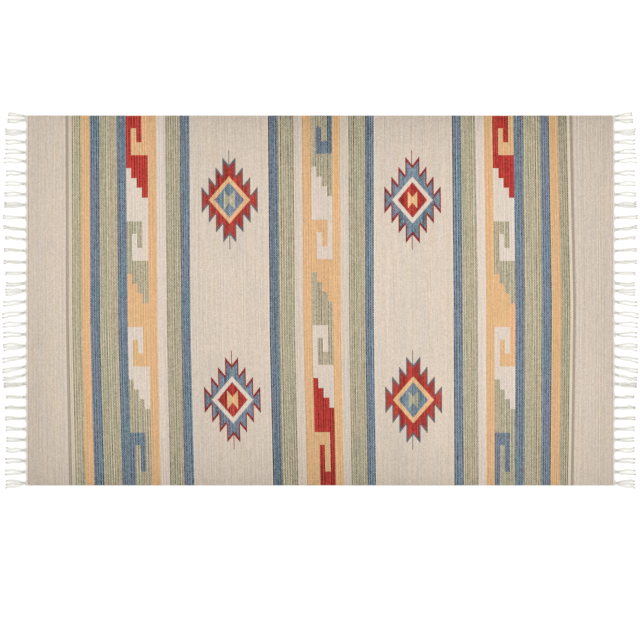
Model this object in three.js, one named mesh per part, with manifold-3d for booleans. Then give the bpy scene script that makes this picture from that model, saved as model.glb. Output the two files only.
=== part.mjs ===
// A flat-woven cotton rug with a knotted fringe at both ends, lying flat on the floor.
// Millimetres, +Z up. X runs along the warp, from fringe to fringe, and Y along the weft.
// The origin is on the floor, under the middle of the rug.
import * as THREE from "three";
import { mergeVertices } from "three/addons/utils/BufferGeometryUtils.js";
import Module from "manifold-3d";

const manifold = await Module();
manifold.setup();

// The woven cloth between its two knotted ends, and the soft swell of its top face.
const cloth = { length: 1438, width: 910, thickness: 4, selvedge: 3, selvedgeDrop: 1.2 };
const clothGrid = { columns: 24, rows: 14 };

// Low puckers where the cloth lies a little slack: middle, half length along the weft,
// half breadth along the warp, and height.
const puckers = [
  { x: 195, y: 40, along: 260, across: 70, height: 1.1 },
  { x: 285, y: -60, along: 230, across: 60, height: 0.9 },
  { x: 215, y: -330, along: 120, across: 110, height: 1.3 },
  { x: -250, y: -90, along: 210, across: 60, height: 0.8 },
  { x: -170, y: 250, along: 160, across: 65, height: 0.7 },
  { x: -640, y: 60, along: 300, across: 60, height: 0.6 },
  { x: 640, y: -40, along: 300, across: 60, height: 0.6 },
];

// The end cord: the last picks beyond the cloth, which every tassel's knot pulls outwards.
const endCord = { clearance: 0.3, width: 2.7, thickness: 3.4, draw: 4.2, arcSteps: 4, arcPower: 1.8 };

// Tassels: their row along the end cord, the knot at the root, and the strands.
const tassel = { count: 36, first: 452, last: -449.5 };
const knot = { sink: 3.5, length: 9, leanShare: 0.25 };
const strand = { length: 42, lengthChange: 3, width: 2.8, height: 2.8, steps: 4, tipThinning: 0.25 };
const spread = { root: 1.6, tip: 3.9, change: 0.9 };
const wave = { reach: 1.3, turns: 1.15 };
const threeStrandsEvery = 4;

// Where tassels stray from an even row, and how far their tips lean, towards +Y.
const tasselLay = [
  { tassel: 0, drift: 0, lean: 3 },
  { tassel: 1, drift: 14, lean: -3 },
  { tassel: 4, drift: 15, lean: 4 },
  { tassel: 5, drift: 19, lean: 4 },
  { tassel: 6, drift: 15.5, lean: 1 },
  { tassel: 9, drift: 15, lean: 1 },
  { tassel: 12, drift: 10, lean: 4 },
  { tassel: 14, drift: 2.5, lean: 1.5 },
  { tassel: 15, drift: 2.5, lean: -2 },
  { tassel: 17, drift: 10.5, lean: -5 },
  { tassel: 19, drift: 8, lean: -7 },
  { tassel: 21, drift: 5.5, lean: -1 },
  { tassel: 22, drift: 2.5, lean: -3 },
  { tassel: 24, drift: 4, lean: -11 },
  { tassel: 26, drift: 11, lean: -3 },
  { tassel: 27, drift: 5, lean: 1 },
  { tassel: 31, drift: 3.6, lean: 0 },
  { tassel: 33, drift: 2.6, lean: 2 },
  { tassel: 35, drift: 0, lean: -3 },
];

// A knot's sections from the end cord outwards, at shares of its length.
const knotSections = [
  { at: 0, width: 8, height: 3.2 },
  { at: 0.45, width: 5, height: 3.2 },
  { at: 0.75, width: 6.6, height: 4.2 },
  { at: 1, width: 5.8, height: 3.2 },
];

// The outline across a knot and across a strand, as shares of its width and height, round from the floor.
const knotProfile = [
  { across: -0.5, up: 0 },
  { across: 0.5, up: 0 },
  { across: 0.32, up: 1 },
  { across: -0.32, up: 1 },
];
const strandProfile = [
  { across: -0.5, up: 0 },
  { across: 0.5, up: 0 },
  { across: 0, up: 1 },
];

const finishes = {
  cloth: { color: 0xdacbba, roughness: 0.95, metalness: 0 },
  fringe: { color: 0xf3f0e8, roughness: 0.95, metalness: 0 },
};

const clothEnd = cloth.length / 2;
const cordInner = clothEnd + endCord.clearance;
const cordOuter = cordInner + endCord.width;

// A small unevenness from -1 to 1 that is the same each time for the same piece.
function uneven(index, kind) {
  return Math.sin(index * 12.9898 + kind * 78.233);
}

function smooth(share) {
  return share * share * (3 - 2 * share);
}

// A column of the lay table at one tassel, read between its rows.
function layAt(index, column) {
  const next = Math.max(1, tasselLay.findIndex((row) => row.tassel >= index));
  const [before, after] = [tasselLay[next - 1], tasselLay[next]];
  const share = (index - before.tassel) / (after.tassel - before.tassel);
  return before[column] + share * (after[column] - before[column]);
}

function rootAt(index) {
  const even = tassel.first + (index / (tassel.count - 1)) * (tassel.last - tassel.first);
  return even + layAt(index, "drift");
}

// The height of the puckers at a place on the cloth.
function swell(x, y) {
  return puckers.reduce((sum, one) => {
    const distance = Math.hypot((x - one.x) / one.across, (y - one.y) / one.along);
    return sum + one.height * Math.exp(-distance * distance);
  }, 0);
}

// Grid lines across a width, with the outer two on each side as far apart as the selvedge is wide.
function stations(width, count) {
  const inner = width - 2 * cloth.selvedge;
  const lines = Array.from({ length: count - 1 }, (_, i) => -inner / 2 + (inner * i) / (count - 2));
  return [-width / 2, ...lines, width / 2];
}

// The cloth: a flat underside on the floor and a top face that follows the puckers and drops at the rim.
function clothGeometry() {
  const { columns, rows } = clothGrid;
  const xs = stations(cloth.length, columns);
  const ys = stations(cloth.width, rows);
  const geometry = new THREE.BoxGeometry(1, 1, 1, columns, rows, 1);
  const points = geometry.getAttribute("position");
  for (let i = 0; i < points.count; i += 1) {
    const column = Math.round((points.getX(i) + 0.5) * columns);
    const row = Math.round((points.getY(i) + 0.5) * rows);
    const atRim = column % columns === 0 || row % rows === 0;
    const top = cloth.thickness + swell(xs[column], ys[row]) - (atRim ? cloth.selvedgeDrop : 0);
    points.setXYZ(i, xs[column], ys[row], points.getZ(i) > 0 ? top : 0);
  }
  geometry.computeVertexNormals();
  return geometry;
}

// A closed body on the floor with one profile, through a row of sections with their place, width and height.
function loftOnFloor(profile, sections) {
  const positions = [];
  sections.forEach((section, i) => {
    const before = sections[Math.max(i - 1, 0)];
    const after = sections[Math.min(i + 1, sections.length - 1)];
    const ahead = new THREE.Vector2(after.x - before.x, after.y - before.y).normalize();
    for (const corner of profile) {
      const aside = corner.across * section.width;
      positions.push(section.x - ahead.y * aside, section.y + ahead.x * aside, corner.up * section.height);
    }
  });
  const corners = profile.length;
  const last = (sections.length - 1) * corners;
  const faces = [];
  for (let corner = 2; corner < corners; corner += 1) {
    faces.push(0, corner, corner - 1, last, last + corner - 1, last + corner);
  }
  for (let ring = 0; ring < last; ring += corners) {
    for (let corner = 0; corner < corners; corner += 1) {
      const [a, b] = [ring + corner, ring + ((corner + 1) % corners)];
      faces.push(a, b, a + corners, b, b + corners, a + corners);
    }
  }
  const geometry = new THREE.BufferGeometry();
  geometry.setAttribute("position", new THREE.Float32BufferAttribute(positions, 3));
  geometry.setIndex(faces);
  return geometry;
}

// A tassel's knot, from inside the end cord to where its strands part.
function knotGeometry(index, side) {
  const start = cordOuter - knot.sink + endCord.draw;
  const lean = layAt(index, "lean") * knot.leanShare;
  const sections = knotSections.map(({ at, ...size }) => ({
    x: side * (start + at * (knot.sink + knot.length)),
    y: rootAt(index) + at * lean,
    ...size,
  }));
  return loftOnFloor(knotProfile, sections);
}

// One strand of a tassel, from inside its knot to its tip, as a slightly wavy line.
function strandGeometry(index, order, strands, side) {
  const place = order - (strands - 1) / 2;
  const start = cordOuter + endCord.draw + knot.length - strand.width;
  const length = strand.length + strand.lengthChange * uneven(index * 3 + order, 1);
  const lean = layAt(index, "lean");
  const tipSpread = spread.tip + spread.change * uneven(index, 2);
  const phase = Math.PI * uneven(index, 3);
  const sections = Array.from({ length: strand.steps + 1 }, (_, step) => {
    const share = step / strand.steps;
    const fan = place * 2 * (spread.root + (tipSpread - spread.root) * smooth(share));
    const sway = wave.reach * share * Math.sin(2 * Math.PI * wave.turns * share + phase);
    const thickness = 1 - strand.tipThinning * smooth(share);
    return {
      x: side * (start + share * length),
      y: rootAt(index) + lean * (knot.leanShare + (1 - knot.leanShare) * share) + fan + sway,
      width: strand.width * thickness,
      height: strand.height * thickness,
    };
  });
  return loftOnFloor(strandProfile, sections);
}

// The end cord, with its outer edge drawn out in a shallow arc to each tassel.
function endCordGeometry(side) {
  const roots = Array.from({ length: tassel.count }, (_, i) => rootAt(i));
  const outline = [new THREE.Vector2(side * cordInner, cloth.width / 2)];
  outline.push(new THREE.Vector2(side * (cordOuter + endCord.draw / 2), cloth.width / 2));
  roots.forEach((root, i) => {
    const next = roots[i + 1];
    const steps = next === undefined ? 1 : endCord.arcSteps;
    for (let step = 0; step < steps; step += 1) {
      const share = step / steps;
      const drawn = Math.abs(1 - 2 * share) ** endCord.arcPower;
      const y = next === undefined ? root : root + share * (next - root);
      outline.push(new THREE.Vector2(side * (cordOuter + endCord.draw * drawn), y));
    }
  });
  outline.push(new THREE.Vector2(side * (cordOuter + endCord.draw / 2), -cloth.width / 2));
  outline.push(new THREE.Vector2(side * cordInner, -cloth.width / 2));
  const options = { depth: endCord.thickness, bevelEnabled: false };
  return new THREE.ExtrudeGeometry(new THREE.Shape(outline), options);
}

function toSolid(geometry) {
  const bare = geometry.index ? geometry.toNonIndexed() : geometry;
  const shell = new THREE.BufferGeometry();
  shell.setAttribute("position", bare.getAttribute("position"));
  const merged = mergeVertices(shell, 1e-3);
  const vertProperties = new Float32Array(merged.getAttribute("position").array);
  const triVerts = new Uint32Array(merged.index.array);
  return new manifold.Manifold(new manifold.Mesh({ numProp: 3, vertProperties, triVerts }));
}

function toGeometry(solid) {
  const { vertProperties, triVerts } = solid.getMesh();
  const geometry = new THREE.BufferGeometry();
  geometry.setAttribute("position", new THREE.BufferAttribute(vertProperties, 3));
  geometry.setIndex(new THREE.BufferAttribute(triVerts, 1));
  geometry.computeVertexNormals();
  return geometry;
}

// One end's fringe: the end cord with its knots and strands fused on.
function fringeGeometry(side) {
  let fringe = toSolid(endCordGeometry(side));
  for (let index = 0; index < tassel.count; index += 1) {
    const strands = index % threeStrandsEvery === 2 ? 3 : 2;
    fringe = fringe.add(toSolid(knotGeometry(index, side)));
    for (let order = 0; order < strands; order += 1) {
      fringe = fringe.add(toSolid(strandGeometry(index, order, strands, side)));
    }
  }
  return toGeometry(fringe);
}

function namedMesh(name, geometry, finish) {
  const mesh = new THREE.Mesh(geometry, new THREE.MeshStandardMaterial(finish));
  mesh.name = name;
  return mesh;
}

const rug = new THREE.Group();
rug.add(namedMesh("woven_field", clothGeometry(), finishes.cloth));
rug.add(namedMesh("left_fringe", fringeGeometry(-1), finishes.fringe));
rug.add(namedMesh("right_fringe", fringeGeometry(1), finishes.fringe));

export default rug;
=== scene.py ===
"""Looks of a flat-woven cotton rug with a knotted fringe at both ends, lying on a pale floor.

X runs along the warp from fringe to fringe, Y along the picks from selvedge to selvedge, and Z up.
Sizes are in millimetres until a mesh is made, where they become metres.
"""
import logging
import math
from dataclasses import dataclass
from enum import Enum

import bpy
import numpy as np
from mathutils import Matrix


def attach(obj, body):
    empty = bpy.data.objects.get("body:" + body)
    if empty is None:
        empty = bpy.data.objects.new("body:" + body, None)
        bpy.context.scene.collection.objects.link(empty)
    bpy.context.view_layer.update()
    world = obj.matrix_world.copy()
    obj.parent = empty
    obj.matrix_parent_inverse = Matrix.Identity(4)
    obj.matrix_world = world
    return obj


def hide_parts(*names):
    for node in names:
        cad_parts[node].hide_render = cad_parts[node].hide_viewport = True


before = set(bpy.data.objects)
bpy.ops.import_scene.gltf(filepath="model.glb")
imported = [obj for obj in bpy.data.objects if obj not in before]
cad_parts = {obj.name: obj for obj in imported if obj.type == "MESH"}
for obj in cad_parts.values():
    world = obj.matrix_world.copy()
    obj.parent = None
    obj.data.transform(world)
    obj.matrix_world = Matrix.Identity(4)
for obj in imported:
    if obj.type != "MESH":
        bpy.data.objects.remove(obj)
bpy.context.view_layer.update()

log = logging.getLogger("rug")
Socket = bpy.types.NodeSocket

MM = 0.001
# How much lighter than its own colour a matte surface looks under the studio light.
STUDIO_LEVEL = 1.33
WHITE_LEVEL = 255
HALF_LENGTH = 719.0
HALF_WIDTH = 455.0
# Half the width of a part of the pattern on a pick that the part doesn't reach.
NOWHERE = -10.0


class Yarn(Enum):
    """The dyed weft yarns, numbered as the palette holds them."""

    GROUND = 0
    NATURAL = 1
    CREAM = 2
    SAGE = 3
    ORANGE = 4
    BLUE = 5
    RED = 6
    TAUPE = 7
    INK = 8
    WHITE = 9
    MADDER = 10
    CRIMSON = 11


@dataclass(frozen=True)
class YarnTone:
    """A dyed yarn as it looks under the studio light, from 0 to 255: its cooler and warmer dye lots.

    The streak is how far its picks differ in lightness, the fleck how far its single floats do, and the
    dip how much painted shade darkens a float's ends and sides beside its crown.
    """

    cool: tuple[int, int, int]
    warm: tuple[int, int, int]
    streak: float
    fleck: float
    dip_shade: float


YARN_TONES: dict[Yarn, YarnTone] = {
    Yarn.GROUND: YarnTone((224, 211, 197), (226, 208, 189), 0.042, 0.13, 0.15),
    Yarn.NATURAL: YarnTone((219, 208, 193), (223, 206, 187), 0.05, 0.13, 0.15),
    Yarn.CREAM: YarnTone((224, 213, 191), (226, 211, 187), 0.04, 0.08, 0.12),
    Yarn.SAGE: YarnTone((183, 178, 152), (190, 175, 149), 0.225, 0.3, 0.42),
    Yarn.ORANGE: YarnTone((232, 191, 140), (235, 187, 142), 0.09, 0.16, 0.19),
    Yarn.BLUE: YarnTone((117, 139, 149), (126, 131, 147), 0.265, 0.47, 0.62),
    Yarn.RED: YarnTone((186, 57, 50), (195, 72, 63), 0.3, 0.38, 0.42),
    Yarn.TAUPE: YarnTone((184, 170, 153), (187, 172, 153), 0.06, 0.12, 0.12),
    Yarn.INK: YarnTone((102, 106, 117), (113, 102, 102), 0.12, 0.3, 0.3),
    Yarn.WHITE: YarnTone((231, 218, 204), (232, 215, 199), 0.05, 0.12, 0.15),
    Yarn.MADDER: YarnTone((170, 56, 49), (179, 70, 61), 0.3, 0.42, 0.42),
    Yarn.CRIMSON: YarnTone((141, 44, 46), (147, 52, 52), 0.12, 0.3, 0.3),
}

# The undyed and sand-coloured yarns, whose picks hardly differ in tone.
PLAIN_YARNS = (Yarn.GROUND, Yarn.NATURAL, Yarn.CREAM, Yarn.TAUPE, Yarn.WHITE)


def dyed(shade: tuple[int, int, int]) -> tuple[float, float, float, float]:
    """Turns a shade seen under the studio light into the yarn's own linear colour.

    Args:
        shade: red, green and blue as they look, from 0 to 255.

    Returns:
        The colour for a shader socket, with its alpha.
    """
    linear = [((value / WHITE_LEVEL + 0.055) / 1.055) ** 2.4 / STUDIO_LEVEL for value in shade]
    return (*linear, 1.0)


@dataclass(frozen=True)
class HookColumn:
    """A column of stepped hooks, each a figure yarn on a back yarn, listed from the +Y selvedge down.

    The step ends are the shares of the column's breadth at which its steps end.
    """

    units: tuple[tuple[Yarn, Yarn], ...]
    step_ends: tuple[float, ...] = (0.23, 0.48, 0.72, 1.0)


@dataclass(frozen=True)
class HookUnit:
    """The stepped hook that every hook column repeats, four steps wide.

    A bar is the first and last step that it covers, and where it begins and ends below the unit's top.
    The last unit is cut by the selvedge, and its hook runs into it.
    """

    first_top: float = 454.5
    pitch: float = 260.0
    back_end: float = 97.0
    bars: tuple[tuple[int, int, float, float], ...] = (
        (0, 0, 0.0, 129.2),
        (1, 2, 0.0, 31.0),
        (2, 2, 31.0, 65.5),
        (1, 1, 97.0, 153.8),
        (2, 2, 97.0, 177.2),
        (3, 3, 97.0, 201.8),
    )
    last_bars: tuple[tuple[int, int, float, float], ...] = (
        (0, 0, 0.0, 150.0),
        (1, 2, 0.0, 31.0),
        (2, 2, 31.0, 96.0),
    )

    def bars_of(self, unit: int, units: int) -> tuple[tuple[int, int, float, float], ...]:
        """The bars of one unit of a column."""
        return self.last_bars if unit == units - 1 else self.bars

    def edges(self, units: int) -> list[float]:
        """Every Y at which a bar of a column begins or ends."""
        found = set()
        for unit in range(units):
            top = self.first_top - unit * self.pitch
            for _, _, begin, end in self.bars_of(unit, units):
                found.update((round(top - begin, 3), round(top - end, 3)))
        return sorted(found)

    def yarn_at(self, column: HookColumn, step: int, y: float) -> Yarn:
        """The yarn that shows at one place of a hook column.

        Args:
            column: the column, with the yarns of its units.
            step: which of the column's steps, from 0 on the -X side.
            y: the place along the pick.

        Returns:
            The figure's or the back's yarn.
        """
        count = len(column.units)
        unit = min(max(int((self.first_top - y) // self.pitch), 0), count - 1)
        below = self.first_top - unit * self.pitch - y
        figure, back = column.units[unit]
        for first, last, begin, end in self.bars_of(unit, count):
            if first <= step <= last and begin <= below < end:
                return figure
        if unit < count - 1 and below > self.back_end:
            back = column.units[unit + 1][1]
        return back


@dataclass(frozen=True)
class Medallion:
    """The serrated medallion: rows of teeth round a diamond ring with a small winged figure in it.

    Tooth sides are distances from the middle along X, and each tooth's tip stands on its outer side.
    """

    sides: tuple[float, ...] = (16.65, 34.3, 51.95, 69.6)
    first_tip: float = 105.8
    tip_step: float = 24.2
    slope: float = 1.24
    outline_picks: float = 3.2
    outline_warps: float = 2.2
    crimson_warps: float = 0.5
    ring: tuple[float, float] = (51.0, 58.0)
    heart: tuple[float, float] = (37.0, 44.0)
    wing: tuple[float, float, float] = (12.2, 6.5, 22.0)
    stem: float = 122.0

    def tooth(self, away: float) -> float:
        """How far the teeth reach along Y, at a distance from the middle along X."""
        for number, side in enumerate(self.sides):
            if away <= side:
                return self.first_tip - number * self.tip_step - self.slope * (side - away)
        return NOWHERE

    def spans(self, away: float, warp: float) -> tuple[list[float], list[float]]:
        """The half widths, in warps, that a pick gives to each part of the medallion but its stem.

        Args:
            away: the pick's distance from the medallion's middle along X.
            warp: the distance between two warps.

        Returns:
            The spans of outline, body and ring, and those of heart and wings.
        """
        outline = self.tooth(away)
        body = min(outline - self.outline_warps * warp, self.tooth(away + self.outline_picks))
        diamonds = [half_y * (1 - away / half_x) for half_x, half_y in (self.ring, self.heart)]
        reach, middle, outer = self.wing
        wings = middle + (outer - middle) * away / reach if away < reach else NOWHERE
        return (
            [value / warp for value in (outline, body, diamonds[0])],
            [value / warp for value in (diamonds[1], wings)],
        )


@dataclass(frozen=True)
class MedallionColours:
    """The yarns of one medallion, in the order in which its parts lie over each other."""

    outline: Yarn
    body: Yarn
    ring: Yarn
    heart: Yarn
    wings: Yarn


LEFT_HOOKS = HookColumn(
    (
        (Yarn.RED, Yarn.ORANGE),
        (Yarn.SAGE, Yarn.WHITE),
        (Yarn.WHITE, Yarn.ORANGE),
        (Yarn.BLUE, Yarn.SAGE),
    )
)
RIGHT_HOOKS = HookColumn(LEFT_HOOKS.units, (0.26, 0.49, 0.745, 1.0))
MIDDLE_HOOKS = HookColumn(
    (
        (Yarn.SAGE, Yarn.BLUE),
        (Yarn.ORANGE, Yarn.WHITE),
        (Yarn.WHITE, Yarn.SAGE),
        (Yarn.ORANGE, Yarn.RED),
    ),
    (0.24, 0.49, 0.765, 1.0),
)

# The bands from the -X end on: what each holds, the X at which it ends halfway between the selvedges,
# and how much lighter its dye lot is.
BANDS: tuple[tuple[Yarn | HookColumn, float, float], ...] = (
    (Yarn.GROUND, -626.0, 0.02),
    (Yarn.TAUPE, -618.6, 0.06),
    (Yarn.CREAM, -610.6, 0.0),
    (Yarn.SAGE, -587.0, 0.04),
    (Yarn.ORANGE, -566.0, 0.0),
    (Yarn.BLUE, -542.4, 0.0),
    (Yarn.SAGE, -497.6, 0.03),
    (Yarn.BLUE, -474.4, 0.0),
    (LEFT_HOOKS, -422.4, 0.0),
    (Yarn.ORANGE, -401.1, 0.0),
    (Yarn.WHITE, -378.0, 0.0),
    (Yarn.SAGE, -342.6, -0.02),
    (Yarn.BLUE, -319.8, 0.0),
    (Yarn.GROUND, -124.9, -0.01),
    (Yarn.BLUE, -102.1, -0.12),
    (Yarn.SAGE, -62.8, -0.06),
    (Yarn.NATURAL, -41.8, 0.0),
    (Yarn.ORANGE, -19.9, -0.07),
    (MIDDLE_HOOKS, 30.6, -0.07),
    (Yarn.ORANGE, 50.4, -0.02),
    (Yarn.NATURAL, 70.6, 0.0),
    (Yarn.SAGE, 110.7, -0.05),
    (Yarn.BLUE, 131.6, -0.05),
    (Yarn.GROUND, 328.2, 0.01),
    (Yarn.BLUE, 350.0, 0.0),
    (Yarn.SAGE, 387.8, 0.03),
    (Yarn.WHITE, 407.9, 0.01),
    (Yarn.ORANGE, 428.6, 0.0),
    (RIGHT_HOOKS, 480.4, 0.0),
    (Yarn.BLUE, 502.0, 0.04),
    (Yarn.SAGE, 547.1, 0.0),
    (Yarn.BLUE, 570.0, 0.08),
    (Yarn.ORANGE, 592.6, 0.0),
    (Yarn.SAGE, 615.2, -0.05),
    (Yarn.CREAM, 622.2, 0.06),
    (Yarn.TAUPE, 628.6, 0.04),
    (Yarn.GROUND, HALF_LENGTH, 0.0),
)

# How far the beating has bowed the picks: at each X, the shift at the +Y and at the -Y selvedge.
BOW: tuple[tuple[float, float, float], ...] = (
    (-HALF_LENGTH, 0.0, 0.0),
    (-622, -1.2, 8.4),
    (-590, -1.5, 9.5),
    (-545, -1.8, 11.3),
    (-497, -4.5, 11.2),
    (-475, -5.0, 9.5),
    (-420, -3.0, 9.0),
    (-340, -4.0, 8.8),
    (-320, -2.8, 10.4),
    (-220, -5.8, 11.8),
    (-123, -4.0, 9.2),
    (-42, -3.5, 9.3),
    (52, -2.2, 7.3),
    (130, -0.3, 5.6),
    (228, -2.6, 0.6),
    (330, -4.7, 2.0),
    (350, -4.7, 3.5),
    (389, -6.8, 2.0),
    (443, -5.2, 0.0),
    (546, -5.4, -2.4),
    (592, -10.0, -4.4),
    (623, -9.5, -6.0),
    (665, -4.0, -3.0),
    (HALF_LENGTH, 0.0, 0.0),
)

# Where the bow towards the -Y selvedge begins, and how it grows from there.
LOWER_BOW_START = -34.0
LOWER_BOW_POWER = 1.15

# How much painted shade darkens the cloth towards the selvedges: at each X, at the +Y and at the -Y
# selvedge.
EDGE_SHADE: tuple[tuple[float, float, float], ...] = (
    (-HALF_LENGTH, 0.065, 0.175),
    (-230, 0.18, 0.165),
    (230, 0.21, 0.16),
    (HALF_LENGTH, 0.15, 0.04),
)


@dataclass(frozen=True)
class Unevenness:
    """How unevenly the yarn is spun and dyed.

    A pick's noise is part steady and part drifting along it. A mix is how much of each part is added: for
    coloured picks the pick against its neighbours, the two shuttles by turns, and patches of picks; for
    plain ones the pick against its neighbours, the pick by itself, and the shuttles; for dye lots the pick
    by itself and patches.
    """

    steady: float = 0.62
    drifting: float = 0.78
    drift_length: float = 40.0
    shuttles: float = 0.9
    shuttle_change: float = 0.25
    shuttle_picks: int = 5
    coloured: tuple[float, float, float] = (0.35, 0.85, 0.15)
    coloured_picks: int = 3
    plain: tuple[float, float, float] = (0.6, 0.35, 0.3)
    medallion_calm: float = 0.4
    medallion_patches: float = 0.5
    medallion_picks: int = 4
    lot: tuple[float, float] = (0.12, 0.5)
    lot_picks: int = 7
    broad: float = 0.012
    broad_picks: int = 24


def mixed(shares: tuple[float, ...], *parts: np.ndarray) -> np.ndarray:
    """The sum of some parts, each times its share."""
    return sum(share * part for share, part in zip(shares, parts))


@dataclass
class Draft:
    """The weaver's draft of the rug: its picks and warps, and the yarn that shows at each crossing.

    The rug is woven straight here. The bow and the puckers belong to the cloth and not to the draft.
    """

    length: float = 2 * HALF_LENGTH
    width: float = 2 * HALF_WIDTH
    pick: float = 2.95
    warp: float = 3.05
    lines: int = 39
    selvedge_lines: tuple[float, ...] = (0.0, 0.9, 3.2)
    least_gap: float = 1.0
    medallion_x: tuple[float, float] = (-220.9, 228.3)
    medallion_y: tuple[float, float] = (-244.6, 247.2)
    medallion_reach: float = 75.0
    # Painted shade on a dark pick beside a paler one and painted highlight on the paler one: how strong, and
    # their limit.
    shade_beside: tuple[float, float] = (1.3, 0.5)
    shade_limit: float = 0.12
    # The painted shade towards the selvedges and ends: how far it reaches from the selvedges, how dark it is
    # at the ends and how far it reaches from them.
    edge_shade_depth: float = 90.0
    end_shade: float = 0.06
    end_shade_depth: float = 55.0
    seed: int = 11
    unevenness: Unevenness = Unevenness()
    hook: HookUnit = HookUnit()
    medallion: Medallion = Medallion()

    def __post_init__(self) -> None:
        """Lays out the picks, the lines across them and every table that follows from them."""
        self.pick_edges, self.pick_bands, self.pick_band_numbers = self._lay_picks()
        self.pick_lots = np.array([BANDS[number][2] for number in self.pick_band_numbers])
        self.pick_middles = (self.pick_edges[1:] + self.pick_edges[:-1]) / 2
        self.line_places = self._lay_lines()
        self.yarns = self._choose_yarns()
        self.tones = self._choose_tones()

    def _lay_picks(self) -> tuple[np.ndarray, list[tuple[Yarn | HookColumn, int]], np.ndarray]:
        """Fills each band with whole picks.

        Returns:
            The X of every pick's edge, and for each pick what its band holds with its step in a hook
            column, and the band's number.
        """
        edges, bands, numbers, start = [-self.length / 2], [], [], -self.length / 2
        for number, (kind, end, _) in enumerate(BANDS):
            ends = kind.step_ends if isinstance(kind, HookColumn) else (1.0,)
            for step, share in enumerate(ends):
                step_end = start + (end - start) * share
                count = max(1, round((step_end - edges[-1]) / self.pick))
                edges.extend(np.linspace(edges[-1], step_end, count + 1)[1:])
                bands.extend([(kind, step)] * count)
                numbers.extend([number] * count)
            start = end
        return np.array(edges), bands, np.array(numbers)

    def _lay_lines(self) -> np.ndarray:
        """The Y of every mesh line: selvedges, hook edges, and splits of the widest gaps left."""
        half = self.width / 2
        rim = [half - inset for inset in self.selvedge_lines]
        places = set(rim) | {-place for place in rim}
        units = len(LEFT_HOOKS.units)
        places |= {y for y in self.hook.edges(units) if abs(y) < rim[-1] - self.least_gap}
        ordered = sorted(places)
        while len(ordered) < self.lines:
            widest = int(np.argmax(np.diff(ordered)))
            ordered.insert(widest + 1, (ordered[widest] + ordered[widest + 1]) / 2)
        return np.array(ordered)

    def _choose_yarns(self) -> np.ndarray:
        """The yarn's number for every pick and every span between two lines."""
        middles = (self.line_places[1:] + self.line_places[:-1]) / 2
        table = np.empty((len(self.pick_bands), len(middles)))
        for number, (kind, step) in enumerate(self.pick_bands):
            if isinstance(kind, HookColumn):
                table[number] = [self.hook.yarn_at(kind, step, y).value for y in middles]
            else:
                table[number] = kind.value
        return table

    def _choose_tones(self) -> np.ndarray:
        """Gives every pick its unevenness along the lines.

        Returns:
            For each pick and line: lightness in streaks, dye lot, and the broad tone with its painted light
            and shade, mostly from -1 to 1.
        """
        given = self.unevenness
        rng = np.random.default_rng(self.seed)
        picks, lines = len(self.pick_bands), len(self.line_places)
        drifting = rng.normal(size=(3, picks, lines))
        steady = rng.normal(size=(3, picks, 1))
        by_itself = given.steady * steady + given.drifting * self._eased(drifting)
        first, second, third = by_itself
        against = first - (np.roll(first, 1, 0) + np.roll(first, -1, 0)) / 2
        turn = np.where(np.arange(picks) % 2, 1.0, -1.0)[:, None]
        shuttles = turn * (given.shuttles + given.shuttle_change * self._across(second, given.shuttle_picks))
        coloured = mixed(given.coloured, against, shuttles, self._across(first, given.coloured_picks))
        is_plain = np.array([kind in PLAIN_YARNS for kind, _ in self.pick_bands])[:, None]
        streak = self._level(np.where(is_plain, mixed(given.plain, against, first, turn), coloured))
        patches = given.medallion_patches * self._across(second, given.medallion_picks)
        streak += self._in_medallion() * (patches - given.medallion_calm * streak)
        lot = self._level(mixed(given.lot, second, self._across(third, given.lot_picks)))
        # The broad tone takes off the painted shade towards the ends and selvedges.
        broad = given.broad * self._across(third, given.broad_picks) - self._painted_edge_shade()
        # Painted light and shade of soft folds.
        broad += strength_at(FOLD_LIGHT_AND_SHADE, self.pick_middles[:, None], self.line_places[None, :])
        return np.stack([streak, np.clip(lot, -1, 1), broad + self.pick_lots[:, None]], axis=-1)

    def _in_medallion(self) -> np.ndarray:
        """1 for each pick and line that runs through a medallion, and 0 for the others."""
        x = np.abs(self.pick_middles[:, None, None] - np.array(self.medallion_x))
        y = np.abs(self.line_places[None, :, None] - np.array(self.medallion_y))
        return ((x < self.medallion_reach).any(-1) & (y < self.medallion.stem).any(-1)).astype(float)

    def painted_shade_beside(self) -> np.ndarray:
        """Painted shade on a dark pick beside a pale one, and painted highlight on the pale one, by span."""
        yarn_shades = np.array([np.mean(YARN_TONES[yarn].cool) / WHITE_LEVEL for yarn in Yarn])
        shades = yarn_shades[self.yarns.astype(int)]
        padded = np.concatenate([shades[:1], shades, shades[-1:]])
        step = shades - (padded[:-2] + padded[2:]) / 2
        step = np.clip(step, -self.shade_limit, self.shade_limit)
        darker, paler = self.shade_beside
        return np.where(step < 0, darker, paler) * step

    def _level(self, table: np.ndarray) -> np.ndarray:
        """The table with each band's mean taken out, so that a band is as light as its yarn."""
        level = table.copy()
        starts = np.flatnonzero(np.diff(self.pick_band_numbers, prepend=-1))
        for start, end in zip(starts, np.append(starts[1:], len(table))):
            level[start:end] -= table[start:end].mean()
        return level

    def _painted_edge_shade(self) -> np.ndarray:
        """How much painted shade darkens the cloth towards its ends and selvedges, for each pick and line.
        """
        x, y = self.pick_middles[:, None], self.line_places[None, :]
        places, tops, bottoms = np.array(EDGE_SHADE).T
        reach = np.where(y > 0, np.interp(x, places, tops), np.interp(x, places, bottoms))
        from_end = self.length / 2 - np.abs(x)
        from_selvedge = self.width / 2 - np.abs(y)
        at_ends = self.end_shade * np.exp(-from_end / self.end_shade_depth)
        return at_ends + reach * np.exp(-from_selvedge / self.edge_shade_depth)

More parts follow.
